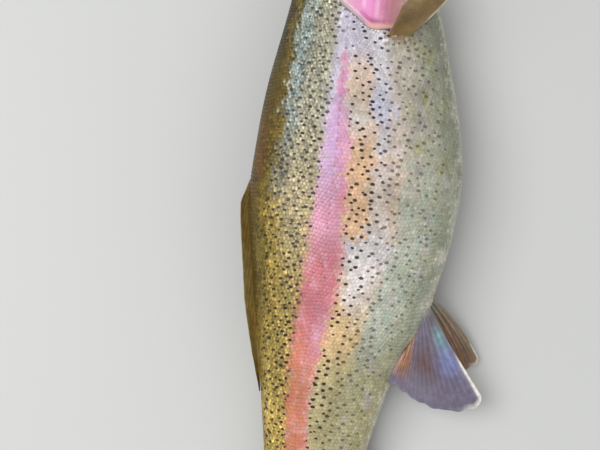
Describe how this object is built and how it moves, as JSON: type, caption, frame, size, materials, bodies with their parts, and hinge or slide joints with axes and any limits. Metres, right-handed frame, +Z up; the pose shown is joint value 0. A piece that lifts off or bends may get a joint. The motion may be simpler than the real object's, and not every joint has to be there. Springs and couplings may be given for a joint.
{
  "type": "rainbow trout",
  "caption": "Life-size rainbow trout lying on its side: spotted back, pink flank stripe, gill covers, closed mouth, folded back fin and spread belly fins.",
  "frame": {"origin": "middle of the fish's bounding box, on the surface that it lies on", "axes": "+Y towards the head, +X towards the belly, +Z up, out of the fish's right side"},
  "size_m": [0.1884, 0.6669, 0.1027],
  "materials": {
    "skin": "wet scaled skin, olive back with dark spots, pink stripe, pale belly",
    "fin": "wet fin membrane over rays",
    "eye": "wet and clear"
  },
  "bodies": {
    "root": {"head": "skin", "lower_jaw": "skin", "upper_jaw_bone_right": "skin", "upper_jaw_bone_left": "skin", "gill_cover_right": "skin", "gill_cover_left": "skin", "eye_right": "eye", "eye_left": "eye", "trunk_front": "skin", "trunk_middle": "skin", "trunk_rear": "skin", "tail": "skin", "dorsal_fin": "fin", "adipose_fin": "fin", "caudal_fin": "fin", "anal_fin": "fin", "pelvic_fin_right": "fin", "pelvic_fin_left": "fin", "pectoral_fin_right": "fin", "pectoral_fin_left": "fin"}
  },
  "joints": []
}
